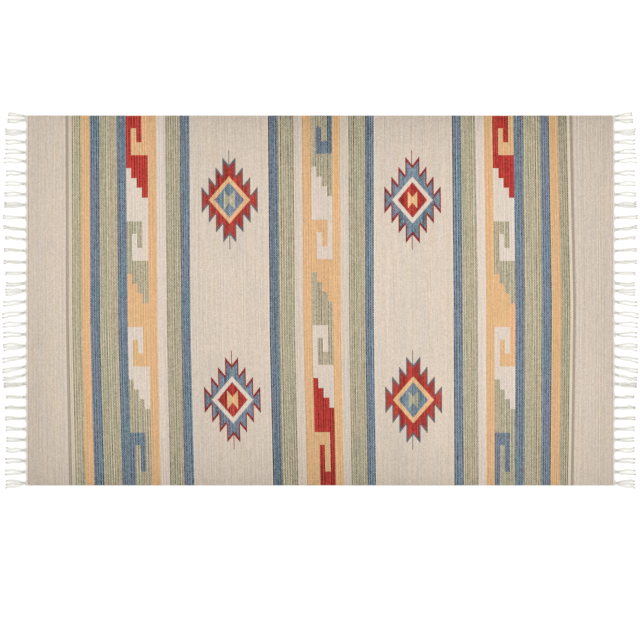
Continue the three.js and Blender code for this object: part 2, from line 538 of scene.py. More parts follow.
    def _eased(self, noise: np.ndarray) -> np.ndarray:
        """Noise drawn line by line, eased along the picks so that it changes over the drift length."""
        eased = noise.copy()
        for line in range(1, noise.shape[-1]):
            gap = self.line_places[line] - self.line_places[line - 1]
            keep = math.exp(-gap / self.unevenness.drift_length)
            eased[..., line] = keep * eased[..., line - 1] + math.sqrt(1 - keep * keep) * noise[..., line]
        return eased

    def _across(self, noise: np.ndarray, picks: int) -> np.ndarray:
        """Noise averaged over a number of neighbouring picks, at its old strength."""
        kernel = np.hanning(picks + 2)[1:-1]
        kernel /= np.sqrt((kernel**2).sum())
        return np.apply_along_axis(lambda row: np.convolve(row, kernel, mode="same"), 0, noise)

    def medallion_spans(self) -> tuple[np.ndarray, np.ndarray]:
        """The medallions' spans on every pick, in warps, for the outer parts and for the inner parts."""
        outer = np.full((len(self.pick_middles), 3), NOWHERE)
        inner = outer.copy()
        for middle in self.medallion_x:
            away = np.abs(self.pick_middles - middle)
            for number in np.flatnonzero(away < self.medallion_reach):
                outer[number], inner[number, :2] = self.medallion.spans(away[number], self.warp)
            inner[np.argmin(away), 2] = self.medallion.stem / self.warp
        return outer, inner

    def warp_number(self, y: np.ndarray) -> np.ndarray:
        """The warp count, from the -Y selvedge, at a Y."""
        return (y + self.width / 2) / self.warp


@dataclass(frozen=True)
class SoftSpot:
    """A soft-edged place on the cloth: its middle, half length along Y, half breadth, and strength."""

    x: float
    y: float
    along: float
    across: float
    strength: float


# Low swells of slack cloth, each as strong as it is high.
PUCKERS = (
    SoftSpot(195, 40, 260, 70, 1.1),
    SoftSpot(285, -60, 230, 60, 0.9),
    SoftSpot(215, -330, 120, 110, 1.3),
    SoftSpot(-250, -90, 210, 60, 0.8),
    SoftSpot(-170, 250, 160, 65, 0.7),
    SoftSpot(-640, 60, 300, 60, 0.6),
    SoftSpot(640, -40, 300, 60, 0.6),
)

# Painted light and shade of soft folds: where the cloth is made lighter, or darker.
FOLD_LIGHT_AND_SHADE = (
    SoftSpot(288, -285, 140, 45, 0.062),
    SoftSpot(655, -235, 110, 38, 0.065),
    SoftSpot(-704, -230, 180, 30, -0.055),
    SoftSpot(-155, 20, 130, 28, -0.03),
)


def strength_at(spots: tuple[SoftSpot, ...], x: np.ndarray, y: np.ndarray) -> np.ndarray:
    """What soft spots add up to at places x and y."""
    total = np.zeros(np.broadcast(x, y).shape)
    for one in spots:
        total += one.strength * np.exp(-(((x - one.x) / one.across) ** 2) - ((y - one.y) / one.along) ** 2)
    return total


def bowed(x: np.ndarray, y: np.ndarray) -> np.ndarray:
    """The X at which a straight pick really lies, at places x and y of the draft."""
    places, tops, bottoms = np.array(BOW).T
    up = np.clip(y / HALF_WIDTH, 0, 1)
    down = np.clip((LOWER_BOW_START - y) / (LOWER_BOW_START + HALF_WIDTH), 0, 1) ** LOWER_BOW_POWER
    return x + up * np.interp(x, places, tops) + down * np.interp(x, places, bottoms)


@dataclass(frozen=True)
class Stray:
    """A breadth of cloth whose figures have strayed along Y: its middle, its half breadth and how far."""

    x: float
    across: float
    shifts: tuple[tuple[float, float], ...]

    def at(self, x: np.ndarray, y: np.ndarray) -> np.ndarray:
        """How far the cloth has strayed towards +Y at places x and y of the draft."""
        places, shifts = np.array(self.shifts).T
        return np.exp(-(((x - self.x) / self.across) ** 4)) * np.interp(y, places, shifts)


STRAY = Stray(
    x=5.0,
    across=75.0,
    shifts=(
        (-HALF_WIDTH, 0.0),
        (-400, 1.0),
        (-320, 1.5),
        (-265, 3.6),
        (-60, 4.4),
        (420, 3.7),
        (HALF_WIDTH, 0.0),
    ),
)


class Nodes:
    """A node tree being wired, with short ways to add the nodes that the finishes use."""

    def __init__(self, tree: bpy.types.NodeTree) -> None:
        """Starts on an empty tree."""
        self.tree = tree
        tree.nodes.clear()

    def add(self, kind: str, **settings: object) -> bpy.types.Node:
        """Adds a node and sets its properties."""
        node = self.tree.nodes.new(kind)
        for name, value in settings.items():
            setattr(node, name, value)
        return node

    def feed(self, socket: Socket, value: object) -> None:
        """Gives an input a link or a constant."""
        if isinstance(value, Socket):
            self.tree.links.new(value, socket)
        else:
            socket.default_value = value

    def math(self, operation: str, *values: object, clamp: bool = False) -> Socket:
        """A Math node on up to three values.

        Args:
            operation: Blender's name of the operation.
            values: links or numbers.
            clamp: whether the result is kept from 0 to 1.

        Returns:
            The result's socket.
        """
        node = self.add("ShaderNodeMath", operation=operation, use_clamp=clamp)
        for socket, value in zip(node.inputs, values):
            self.feed(socket, value)
        return node.outputs[0]

    def blend(self, share: object, first: object, second: object) -> Socket:
        """A number that goes from the first to the second value as the share goes from 0 to 1."""
        node = self.add("ShaderNodeMix", data_type="FLOAT")
        for socket, value in zip(node.inputs[:1] + node.inputs[2:4], (share, first, second)):
            self.feed(socket, value)
        return node.outputs[0]

    def blend_colour(self, share: object, first: object, second: object) -> Socket:
        """A colour that goes from the first to the second as the share goes from 0 to 1."""
        node = self.add("ShaderNodeMix", data_type="RGBA")
        for socket, value in zip((node.inputs[0], node.inputs[6], node.inputs[7]), (share, first, second)):
            self.feed(socket, value)
        return node.outputs[2]

    def lighten(self, colour: object, factor: object) -> Socket:
        """A colour times a number."""
        node = self.add("ShaderNodeVectorMath", operation="SCALE")
        self.feed(node.inputs[0], colour)
        self.feed(node.inputs["Scale"], factor)
        return node.outputs[0]

    def split(self, vector: object) -> tuple[Socket, ...]:
        """The three parts of a vector."""
        node = self.add("ShaderNodeSeparateXYZ")
        self.feed(node.inputs[0], vector)
        return tuple(node.outputs)

    def joined(self, *values: object) -> Socket:
        """A vector of up to three values."""
        node = self.add("ShaderNodeCombineXYZ")
        for socket, value in zip(node.inputs, values):
            self.feed(socket, value)
        return node.outputs[0]

    def attribute(self, name: str) -> bpy.types.Node:
        """An attribute of the piece."""
        return self.add("ShaderNodeAttribute", attribute_name=name)

    def noise(self, vector: object, scale: float, detail: float = 2.0) -> Socket:
        """Smooth noise from 0 to 1 on a vector."""
        node = self.add("ShaderNodeTexNoise")
        self.feed(node.inputs["Vector"], vector)
        node.inputs["Scale"].default_value = scale
        node.inputs["Detail"].default_value = detail
        return node.outputs[0]

    def palette(self, number: object, colours: list[tuple[float, ...]]) -> Socket:
        """The colour with this number, counted from 0.

        Args:
            number: a link that carries a whole number.
            colours: the colours in order.

        Returns:
            The colour's socket.
        """
        node = self.add("ShaderNodeValToRGB")
        ramp = node.color_ramp
        ramp.interpolation = "CONSTANT"
        while len(ramp.elements) < len(colours):
            ramp.elements.new(1.0)
        for place, (element, colour) in enumerate(zip(ramp.elements, colours)):
            element.position = place / len(colours)
            element.color = colour
        middle = self.math("ADD", number, 0.5)
        self.feed(node.inputs[0], self.math("DIVIDE", middle, float(len(colours))))
        return node.outputs[0]

    def spun(self, fibre: bpy.types.NodeTree, strength: float) -> tuple[Socket, ...]:
        """The shared cotton group, laid on the piece's own place: that place, the shade and the height."""
        place = self.add("ShaderNodeTexCoord").outputs["Object"]
        fibres = self.add("ShaderNodeGroup", node_tree=fibre)
        self.feed(fibres.inputs["Place"], place)
        fibres.inputs["Strength"].default_value = strength
        return place, fibres.outputs["Shade"], fibres.outputs["Height"]

    def finish(self, colour: object, roughness: object, height: object, relief: tuple[float, float]) -> None:
        """Ends a material's tree in a dull cotton surface.

        Args:
            colour: the base colour.
            roughness: the roughness.
            height: the height that the bumps follow.
            relief: the strength of the bumps, and their height in metres.
        """
        bump = self.add("ShaderNodeBump")
        self.feed(bump.inputs["Height"], height)
        for name, value in zip(("Strength", "Distance"), relief):
            bump.inputs[name].default_value = value
        surface = self.add("ShaderNodeBsdfPrincipled")
        self.feed(surface.inputs["Base Color"], colour)
        self.feed(surface.inputs["Roughness"], roughness)
        self.feed(surface.inputs["Normal"], bump.outputs[0])
        surface.inputs["Specular IOR Level"].default_value = 0.15
        output = self.add("ShaderNodeOutputMaterial")
        self.feed(output.inputs["Surface"], surface.outputs[0])


def new_material(name: str) -> tuple[bpy.types.Material, Nodes]:
    """An empty material, with its tree ready to be wired."""
    material = bpy.data.materials.new(name)
    material.use_nodes = True
    return material, Nodes(material.node_tree)


def put_in_scene(name: str, data: bpy.types.ID) -> bpy.types.Object:
    """Makes an object of a mesh, light or camera at the origin."""
    made = bpy.data.objects.new(name, data)
    bpy.context.scene.collection.objects.link(made)
    return made


def cotton_fibre(
    fibre_scale: float = 1800.0, lint_scale: float = 420.0, fibre_share: float = 0.6
) -> bpy.types.NodeTree:
    """The shared group for spun cotton: short fibres and lint on a yarn's surface.

    Args:
        fibre_scale: how fine the fibres are.
        lint_scale: how fine the lint is.
        fibre_share: how much of the surface's unevenness is fibres and not lint.

    Returns:
        A group with a place and a strength in, and a shade around 1 and a height out.
    """
    group = bpy.data.node_groups.new("Cotton fibre", "ShaderNodeTree")
    group.interface.new_socket("Place", in_out="INPUT", socket_type="NodeSocketVector")
    group.interface.new_socket("Strength", in_out="INPUT", socket_type="NodeSocketFloat")
    for name in ("Shade", "Height"):
        group.interface.new_socket(name, in_out="OUTPUT", socket_type="NodeSocketFloat")
    nodes = Nodes(group)
    inputs = nodes.add("NodeGroupInput")
    outputs = nodes.add("NodeGroupOutput")
    fibres = nodes.noise(inputs.outputs["Place"], fibre_scale, detail=3)
    lint = nodes.noise(inputs.outputs["Place"], lint_scale)
    coarse = nodes.math("MULTIPLY", lint, 1 - fibre_share)
    both = nodes.math("ADD", nodes.math("MULTIPLY", fibres, fibre_share), coarse)
    around = nodes.math("SUBTRACT", both, 0.5)
    shade = nodes.math("MULTIPLY_ADD", around, inputs.outputs["Strength"], 1.0)
    nodes.feed(outputs.inputs["Shade"], shade)
    nodes.feed(outputs.inputs["Height"], both)
    return group


@dataclass(frozen=True)
class WeavePlace:
    """Links to a place in the weave: its pick's number, the share across it, and the warps along it."""

    pick: Socket
    across: Socket
    warp: Socket


@dataclass(frozen=True)
class WovenCotton:
    """The finish of the weft-faced cloth, wired from the draft's attributes and weave coordinates."""

    roughness: float = 0.95
    crown_polish: float = 0.06
    relief: tuple[float, float] = (0.6, 0.00045)
    fibre_shade: float = 0.14
    fibre_height: float = 0.25
    before_share: float = 0.14
    stem_share: float = 0.62
    float_share: float = 1.15
    slub_share: float = 0.4
    slub_length: float = 2.3
    slub_shift: float = 0.37
    low_fleck: float = 0.6
    crown_fleck: float = 0.9
    side_fall: float = 0.7
    middle_rise: float = 0.385
    twists: float = 2.37
    twist_slant: float = 0.8
    # How strong the painted shade along the twist's ridges is, and how high they stand in the bump.
    twist_painted_shade: float = 0.05
    twist_height: float = 0.08
    figures: tuple[MedallionColours, MedallionColours] = (
        MedallionColours(Yarn.INK, Yarn.MADDER, Yarn.ORANGE, Yarn.BLUE, Yarn.SAGE),
        MedallionColours(Yarn.CRIMSON, Yarn.BLUE, Yarn.WHITE, Yarn.MADDER, Yarn.ORANGE),
    )

    def material(self, fibre: bpy.types.NodeTree) -> bpy.types.Material:
        """Wires the material.

        Args:
            fibre: the shared cotton group.

        Returns:
            The finished material.
        """
        material, nodes = new_material("Woven cotton")
        pick, warp, _ = nodes.split(nodes.add("ShaderNodeUVMap", uv_map="Weave").outputs[0])
        at = WeavePlace(nodes.math("FLOOR", pick), nodes.math("FRACT", pick), warp)
        yarn = self._with_medallions(nodes, at, self._band_yarn(nodes, at))
        rise, twist = self._rise(nodes, at), self._twist(nodes, at)
        _, shade, fibre_height = nodes.spun(fibre, self.fibre_shade)
        streak, lot, broad = nodes.split(nodes.attribute("pick_tone_and_shade").outputs["Vector"])
        tones = [YARN_TONES[one] for one in Yarn]
        unevenness = nodes.palette(yarn, [(tone.streak, tone.fleck, tone.dip_shade, 1.0) for tone in tones])
        streak_reach, fleck_reach, dip_shade = nodes.split(unevenness)
        light = nodes.math("MULTIPLY_ADD", streak, streak_reach, 1.0)
        on_crown = nodes.math("MULTIPLY_ADD", rise, self.crown_fleck, self.low_fleck)
        fleck_reach = nodes.math("MULTIPLY", fleck_reach, on_crown)
        light = nodes.math("MULTIPLY_ADD", self._fleck(nodes, at), fleck_reach, light)
        # Painted shade where a float dips at its ends and sides, and painted light on its crown.
        light = nodes.math("MULTIPLY_ADD", nodes.math("SUBTRACT", rise, self.middle_rise), dip_shade, light)
        # Painted shade along the slanting ridges of the twist.
        light = nodes.math("MULTIPLY_ADD", twist, self.twist_painted_shade, light)
        # The broad tone brings the painted shade at the edges, the painted light and shade of folds, and
        # that beside paler picks.
        light = nodes.math("ADD", light, broad)
        light = nodes.math("MULTIPLY", light, shade)
        cool = nodes.palette(yarn, [dyed(tone.cool) for tone in tones])
        warm = nodes.palette(yarn, [dyed(tone.warm) for tone in tones])
        share = nodes.math("MULTIPLY_ADD", lot, 0.5, 0.5, clamp=True)
        colour = nodes.lighten(nodes.blend_colour(share, cool, warm), light)
        height = nodes.math("MULTIPLY_ADD", fibre_height, self.fibre_height, rise)
        height = nodes.math("MULTIPLY_ADD", twist, self.twist_height, height)
        roughness = nodes.math("MULTIPLY_ADD", rise, -self.crown_polish, self.roughness)
        nodes.finish(colour, roughness, height, self.relief)
        return material

    def _band_yarn(self, nodes: Nodes, at: WeavePlace) -> Socket:
        """The yarn number of the bands. Neighbouring picks show past each other at every other warp."""
        before, own, after = nodes.split(nodes.attribute("yarns").outputs["Vector"])
        odd = nodes.math("MODULO", nodes.math("FLOOR", at.warp), 2.0)
        even = nodes.math("SUBTRACT", 1.0, odd)
        late = nodes.math("MULTIPLY", nodes.math("GREATER_THAN", at.across, 1 - self.before_share), even)
        early = nodes.math("MULTIPLY", nodes.math("LESS_THAN", at.across, self.before_share), odd)
        return nodes.blend(early, nodes.blend(late, own, after), before)

    def _with_medallions(self, nodes: Nodes, at: WeavePlace, yarn: Socket) -> Socket:
        """The yarn number with the medallions laid over the bands, part by part.

        Args:
            nodes: the tree.
            at: the place in the weave.
            yarn: the yarn number of the bands.

        Returns:
            The yarn number that shows.
        """
        middle, way, stem_yarn = nodes.split(nodes.attribute("medallion").outputs["Vector"])
        away = nodes.math("ABSOLUTE", nodes.math("SUBTRACT", at.warp, middle))
        outline, body, ring = nodes.split(nodes.attribute("outer_spans").outputs["Vector"])
        heart, wings, stem = nodes.split(nodes.attribute("inner_spans").outputs["Vector"])
        off_crown = nodes.math("ABSOLUTE", nodes.math("SUBTRACT", at.across, 0.5))
        on_stem = nodes.math("LESS_THAN", off_crown, self.stem_share / 2)
        on_stem = nodes.math("MULTIPLY", on_stem, nodes.math("LESS_THAN", away, stem))
        yarn = nodes.blend(on_stem, yarn, stem_yarn)
        spans = {"outline": outline, "body": body, "ring": ring, "heart": heart, "wings": wings}
        for part, span in spans.items():
            inside = nodes.math("LESS_THAN", away, span)
            first, second = (float(getattr(figure, part).value) for figure in self.figures)
            yarn = nodes.blend(inside, yarn, nodes.blend(way, first, second))
        return nodes.math("ROUND", yarn)

    def _fleck(self, nodes: Nodes, at: WeavePlace) -> Socket:
        """How a float differs from its neighbours: by itself, and with the slub under a few floats."""
        slub = nodes.math("DIVIDE", at.warp, self.slub_length)
        run = nodes.math("MULTIPLY_ADD", at.pick, self.slub_shift, slub)
        total: object = -0.5 * (self.float_share + self.slub_share)
        for place, share in ((at.warp, self.float_share), (run, self.slub_share)):
            noise = nodes.add("ShaderNodeTexWhiteNoise", noise_dimensions="2D")
            nodes.feed(noise.inputs["Vector"], nodes.joined(at.pick, nodes.math("FLOOR", place)))
            total = nodes.math("MULTIPLY_ADD", noise.outputs[0], share, total)
        return total

    def _rise(self, nodes: Nodes, at: WeavePlace) -> Socket:
        """How high a pick stands: 1 on the crown of a float, less to its sides and ends."""
        along = nodes.math("SUBTRACT", nodes.math("SUBTRACT", at.warp, 0.5), at.pick)
        wave = nodes.math("COSINE", nodes.math("MULTIPLY", along, math.pi))
        float_rise = nodes.math("MULTIPLY_ADD", wave, 0.5, 0.5)
        aside = nodes.math("MULTIPLY_ADD", at.across, 2.0, -1.0)
        across = nodes.math("MULTIPLY_ADD", nodes.math("MULTIPLY", aside, aside), -self.side_fall, 1.0)
        return nodes.math("MULTIPLY", float_rise, across)

    def _twist(self, nodes: Nodes, at: WeavePlace) -> Socket:
        """The slanting ridges of the twisted yarn, from -1 to 1."""
        across = nodes.math("MULTIPLY_ADD", at.across, self.twist_slant, at.pick)
        place = nodes.math("MULTIPLY_ADD", at.warp, self.twists, across)
        return nodes.math("SINE", nodes.math("MULTIPLY", place, 2 * math.pi))


def read_whole(items: bpy.types.bpy_prop_collection, name: str) -> np.ndarray:
    """A whole number of each of a mesh's loops or polygons."""
    values = np.empty(len(items), np.int32)
    items.foreach_get(name, values)
    return values


def write_map(mesh: bpy.types.Mesh, name: str, places: np.ndarray) -> None:
    """Adds a UV map, with a place for each of the mesh's loops."""
    layer = mesh.uv_layers.new(name=name)
    layer.uv.foreach_set("vector", places.astype(np.float32).ravel())


def write_vectors(mesh: bpy.types.Mesh, name: str, domain: str, vectors: np.ndarray) -> None:
    """Adds an attribute, with a vector for each face or corner."""
    layer = mesh.attributes.new(name, "FLOAT_VECTOR", domain)
    layer.data.foreach_set("vector", vectors.astype(np.float32).ravel())


@dataclass(frozen=True)
class BakeLayout:
    """Where the flat map holds the cloth: start and breadth of each face, and the strips for its rim.

    The underside lies below the top, the rims at the selvedges between them, and those at the ends beside
    them.
    """

    across: tuple[float, float] = (0.006, 0.988)
    underside: tuple[float, float] = (0.006, 0.32)
    top: tuple[float, float] = (0.346, 0.648)
    selvedges: tuple[float, float] = (0.331, 0.338)
    selvedge_breadth: float = 0.004
    ends: tuple[float, float] = (0.0005, 0.9965)
    end_breadth: float = 0.003


@dataclass
class WovenField:
    """The woven cloth from selvedge to selvedge, with a rib for every pick."""

    draft: Draft
    thickness: float = 4.0
    rib: float = 0.5
    rib_columns: int = 3
    fullness_change: float = 0.22
    rim_heights: tuple[float, ...] = (1.7, 3.5, 4.5)
    rim_ribs: tuple[float, ...] = (0.5, 0.5, 1.0)
    loop: float = 0.45
    short_loop: float = 0.6
    seed: int = 23
    bake: BakeLayout = BakeLayout()

    def build(self, finish: bpy.types.Material) -> bpy.types.Object:
        """Makes the cloth.

        Args:
            finish: the woven material.

        Returns:
            The piece, placed in its mesh.
        """
        verts = np.concatenate([self._top(), self._underside()])
        faces, picks, spans = self._faces()
        mesh = bpy.data.meshes.new("woven_cloth")
        mesh.from_pydata((verts * MM).tolist(), [], faces)
        mesh.validate()
        mesh.shade_smooth()
        self._add_maps(mesh)
        self._add_draft(mesh, picks, spans)
        mesh.materials.append(finish)
        return put_in_scene("woven_cloth", mesh)

    def _columns(self) -> np.ndarray:
        """The X of every mesh column in the draft."""
        edges = self.draft.pick_edges
        starts, widths = edges[:-1, None], np.diff(edges)[:, None]
        shares = np.arange(self.rib_columns) / self.rib_columns
        return np.append((starts + widths * shares).ravel(), edges[-1])

    def _top(self) -> np.ndarray:
        """The top face's points, column by column."""
        rng = np.random.default_rng(self.seed)
        lines = self.draft.line_places
        x = np.repeat(self._columns()[:, None], len(lines), 1)
        y = np.repeat(lines[None, :], len(x), 0)
        pick, step = np.divmod(np.arange(len(x)), self.rib_columns)
        on_rib = (step > 0)[:, None]
        fullness = 1 + self.fullness_change * rng.normal(size=(len(self.draft.pick_bands) + 1, 1))
        rib = self.rib * fullness[pick] * np.where(on_rib, 0.5, -0.5)
        z = self.thickness + strength_at(PUCKERS, x, y) + rib
        for inset, (height, share) in enumerate(zip(self.rim_heights, self.rim_ribs)):
            for line in (inset, len(lines) - 1 - inset):
                z[:, line] = height + share * rib[:, 0] + strength_at(PUCKERS, x[:, line], y[:, line])
        returns = on_rib[:, 0] * self.loop * np.where(pick % 2, 1.0, self.short_loop)
        y[:, 0] -= returns
        y[:, -1] += returns
        return np.stack([bowed(x, y), y + STRAY.at(x, y), z], -1).reshape(-1, 3)

    def _underside(self) -> np.ndarray:
        """The flat underside's points, one column for each pick's edge."""
        lines = self.draft.line_places
        x = np.repeat(self.draft.pick_edges[:, None], len(lines), 1)
        y = np.repeat(lines[None, :], len(x), 0)
        return np.stack([bowed(x, y), y + STRAY.at(x, y), np.zeros_like(x)], -1).reshape(-1, 3)

    def _faces(self) -> tuple[list[tuple[int, ...]], np.ndarray, np.ndarray]:
        """Every face, with the pick and the span between lines that it belongs to."""
        per, lines = self.rib_columns, len(self.draft.line_places)
        picks = len(self.draft.pick_bands)
        columns = picks * per
        under = (columns + 1) * lines
        found: list[tuple[tuple[int, ...], int, int]] = []
        for column in range(columns):
            for span in range(lines - 1):
                a = column * lines + span
                found.append(((a, a + lines, a + lines + 1, a + 1), column // per, span))
        for pick in range(picks):
            for span in range(lines - 1):
                a = under + pick * lines + span
                found.append(((a, a + 1, a + lines + 1, a + lines), pick, span))
        for pick in range(picks):
            for line, turn in ((0, 1), (lines - 1, -1)):
                below = [under + (pick + ahead) * lines + line for ahead in (0, 1)]
                above = [(pick * per + step) * lines + line for step in range(per, -1, -1)]
                found.append((tuple((below + above)[::turn]), pick, min(line, lines - 2)))
        for span in range(lines - 1):
            found.append(((under + span + 1, under + span, span, span + 1), 0, span))
            last, top = under + picks * lines + span, columns * lines + span
            found.append(((last, last + 1, top + 1, top), picks - 1, span))
        faces, of_pick, of_span = zip(*found)
        return list(faces), np.array(of_pick), np.array(of_span)

    def _add_maps(self, mesh: bpy.types.Mesh) -> None:
        """Adds the map of picks and warps, and a flat one that lays out both faces side by side."""
        lines, picks = len(self.draft.line_places), len(self.draft.pick_bands)
        top = (picks * self.rib_columns + 1) * lines
        corners = read_whole(mesh.loops, "vertex_index")
        under = corners >= top
        column, line = np.divmod(np.where(under, corners - top, corners), lines)
        pick = np.where(under, column, column / self.rib_columns)
        place = self.draft.line_places[line]
        write_map(mesh, "Weave", np.stack([pick, self.draft.warp_number(place)], -1))
        along = (place + self.draft.width / 2) / self.draft.width
        flat = self._laid_flat(pick / picks, along, under)
        starts = read_whole(mesh.polygons, "loop_start")
        totals = read_whole(mesh.polygons, "loop_total")
        mixed_faces = np.add.reduceat(under, starts)
        is_rim = np.repeat((mixed_faces > 0) & (mixed_faces < totals), totals)
        at_selvedge = is_rim & np.repeat(totals > 4, totals)
        at_end = is_rim & ~at_selvedge
        bake = self.bake
        selvedge = np.where(line == 0, *bake.selvedges) + np.where(under, 0.0, bake.selvedge_breadth)
        flat[at_selvedge, 1] = selvedge[at_selvedge]
        end = np.where(column == 0, *bake.ends) + np.where(under, 0.0, bake.end_breadth)
        flat[at_end, 0] = end[at_end]
        flat[at_end, 1] = (bake.top[0] + bake.top[1] * along)[at_end]
        write_map(mesh, "OFBake", flat)

    def _laid_flat(self, across: np.ndarray, along: np.ndarray, under: np.ndarray) -> np.ndarray:
        """The flat map's places for shares along X and Y, on the top or on the underside."""
        starts, breadths = np.array([self.bake.across, self.bake.underside, self.bake.top]).T
        faces = starts[1:, None] + breadths[1:, None] * along
        return np.stack([starts[0] + breadths[0] * across, np.where(under, *faces)], -1)

    def _add_draft(self, mesh: bpy.types.Mesh, picks: np.ndarray, spans: np.ndarray) -> None:
        """Writes the draft onto the faces, and the picks' tones onto their corners.

        Args:
            mesh: the cloth's mesh.
            picks: each face's pick.
            spans: each face's span between two lines.
        """
        draft = self.draft
        padded = np.concatenate([draft.yarns[:1], draft.yarns, draft.yarns[-1:]])
        beside = np.stack([padded[picks, spans], padded[picks + 1, spans], padded[picks + 2, spans]], -1)
        outer, inner = draft.medallion_spans()
        middles = (draft.line_places[1:] + draft.line_places[:-1]) / 2
        upper = (middles[spans] > 0).astype(int)
        right = draft.pick_middles[picks] > 0
        middle = draft.warp_number(np.array(draft.medallion_y))[upper]
        way = (upper == 1) == right
        stem = np.where(way, Yarn.CRIMSON.value, Yarn.INK.value)
        outer_of_face = outer[picks]
        outer_of_face[:, 1] -= draft.medallion.crimson_warps * way
        of_face = {
            "yarns": beside,
            "outer_spans": outer_of_face,
            "inner_spans": inner[picks],
            "medallion": np.stack([middle, way, stem], -1),
        }
        for name, vectors in of_face.items():
            write_vectors(mesh, name, "FACE", vectors)
        self._add_tones(mesh, picks, spans)

    def _add_tones(self, mesh: bpy.types.Mesh, picks: np.ndarray, spans: np.ndarray) -> None:
        """Writes each pick's tone, with its painted light and shade, onto the corners of its faces."""
        totals = read_whole(mesh.polygons, "loop_total")
        line = read_whole(mesh.loops, "vertex_index") % len(self.draft.line_places)
        tones = self.draft.tones[np.repeat(picks, totals), line]
        tones[:, 2] += np.repeat(self.draft.painted_shade_beside()[picks, spans], totals)
        write_vectors(mesh, "pick_tone_and_shade", "CORNER", tones)


@dataclass(frozen=True)
class FringeCotton:
    """The finish of the undyed warp yarn in tassels and knots, or of the end cord."""

    name: str = "Fringe cotton"
    cool: tuple[int, int, int] = (251, 252, 250)
    warm: tuple[int, int, int] = (255, 250, 236)
    bleach: float = 1.05
    roughness: float = 0.95
    soil_polish: float = 0.05
    soil_scale: float = 60.0
    fibre_shade: float = 0.3
    relief: tuple[float, float] = (0.5, 0.0002)

    def material(self, fibre: bpy.types.NodeTree) -> bpy.types.Material:
        """Wires the material.

        Args:
            fibre: the shared cotton group.

        Returns:
            The finished material.
        """
        material, nodes = new_material(self.name)
        place, shade, height = nodes.spun(fibre, self.fibre_shade)
        soil = nodes.noise(place, self.soil_scale)
        colour = nodes.blend_colour(soil, dyed(self.cool), dyed(self.warm))
        # The yarn's tone holds the painted shade of knots, coils, gathered warps and strand roots.
        light = nodes.math("ADD", nodes.attribute("yarn_tone_and_shade").outputs["Fac"], self.bleach)
        light = nodes.math("MULTIPLY", light, shade)
        roughness = nodes.math("MULTIPLY_ADD", soil, self.soil_polish, self.roughness - self.soil_polish)
        nodes.finish(nodes.lighten(colour, light), roughness, height, self.relief)
        return material


class YarnMesh:
    """A mesh of yarns that is filled tube by tube."""

    def __init__(self) -> None:
        """Starts empty."""
        self.points: list[np.ndarray] = []
        self.tones: list[np.ndarray] = []
        self.faces: list[tuple[int, ...]] = []
        self.finishes: list[int] = []
        self.count = 0

    def tube(
        self,
        path: np.ndarray,
        radius: float | np.ndarray,
        sides: int,
        tone: float | np.ndarray,
        finish: int = 0,
    ) -> None:
        """Adds a closed tube.

        Args:
            path: the points along its middle.
            radius: its radius, all along or at each point.
            sides: how many sides it has.
            tone: how much lighter than its cotton it is, painted shade included, all along or at each point.
            finish: the index of its material.
        """
        ahead = np.gradient(path, axis=0)
        ahead /= np.linalg.norm(ahead, axis=1, keepdims=True)
        aside = np.cross(ahead, [0.0, 0.0, 1.0])
        aside /= np.maximum(np.linalg.norm(aside, axis=1, keepdims=True), 1e-9)
        up = np.cross(aside, ahead)
        turns = np.arange(sides) * 2 * math.pi / sides
        ring = np.cos(turns)[None, :, None] * aside[:, None] + np.sin(turns)[None, :, None] * up[:, None]
        start, rings = self.count, len(path)
        points = path[:, None] + np.broadcast_to(radius, rings)[:, None, None] * ring
        self.points.append(points.reshape(-1, 3))
        self.tones.append(np.repeat(np.broadcast_to(tone, rings), sides))
        self.count += rings * sides
        for i in range(rings - 1):
            for j in range(sides):
                a, b = start + i * sides + j, start + i * sides + (j + 1) % sides
                self.faces.append((a, a + sides, b + sides, b))
        self.faces.append(tuple(range(start, start + sides)))
        last = start + (rings - 1) * sides
        self.faces.append(tuple(range(last + sides - 1, last - 1, -1)))
        self.finishes.extend([finish] * ((rings - 1) * sides + 2))

    def piece(self, name: str, finishes: list[bpy.types.Material]) -> bpy.types.Object:
        """Makes the mesh's object.

        Args:
            name: the piece's name.
            finishes: its materials, in the order of the tubes' indices.

        Returns:
            The piece, placed in its mesh.
        """
        mesh = bpy.data.meshes.new(name)
        points = np.concatenate(self.points) * MM
        mesh.from_pydata(points.tolist(), [], self.faces)
        mesh.shade_smooth()
        mesh.polygons.foreach_set("material_index", self.finishes)
        layer = mesh.attributes.new("yarn_tone_and_shade", "FLOAT", "POINT")
        layer.data.foreach_set("value", np.concatenate(self.tones).astype(np.float32))
        for finish in finishes:
            mesh.materials.append(finish)
        return put_in_scene(name, mesh)


# Where tassels stray from an even row: tassel, drift along Y, how far its tip leans towards +Y, and how
# much longer its strands are.
TASSEL_LAY: tuple[tuple[float, float, float, float], ...] = (
    (0, 1.5, 5, -6),
    (1, 18, -3, -2),
    (2, 14.3, -0.7, 3),
    (3, 14.7, 1.7, 0),
    (4, 15, 4, 0),
    (5, 19, 4, 5),
    (6, 15.5, 1, 2),
    (9, 15, 1, 3),
    (10, 9, 2, 8),
    (11, 5, 6, 8),
    (12, 7, 5, 3),
    (14, 2.5, 1.5, 4),
    (15, 2.5, -2, 2),
    (16, 3, -5, 2),
    (17, 10.5, -5, 2),
    (19, 8, -7, 8),
    (21, 5.5, -1, 8),
    (22, 3, -3, 7),
    (23, 3, -10, 7),
    (24, 4, -11, 7),
    (25, 10, -13, 7),
    (26, 13, -5, 7),
    (27, 5, 1, 0),
    (31, 3.6, 0, 1),
    (33, 2.6, 2, 0),
    (35, 0, -3, 2),
)


def uneven(index: float, kind: int, by_index: float = 12.9898, by_kind: float = 78.233) -> float:
    """A small unevenness from -1 to 1 that is the same each time for the same yarn."""
    return math.sin(index * by_index + kind * by_kind)


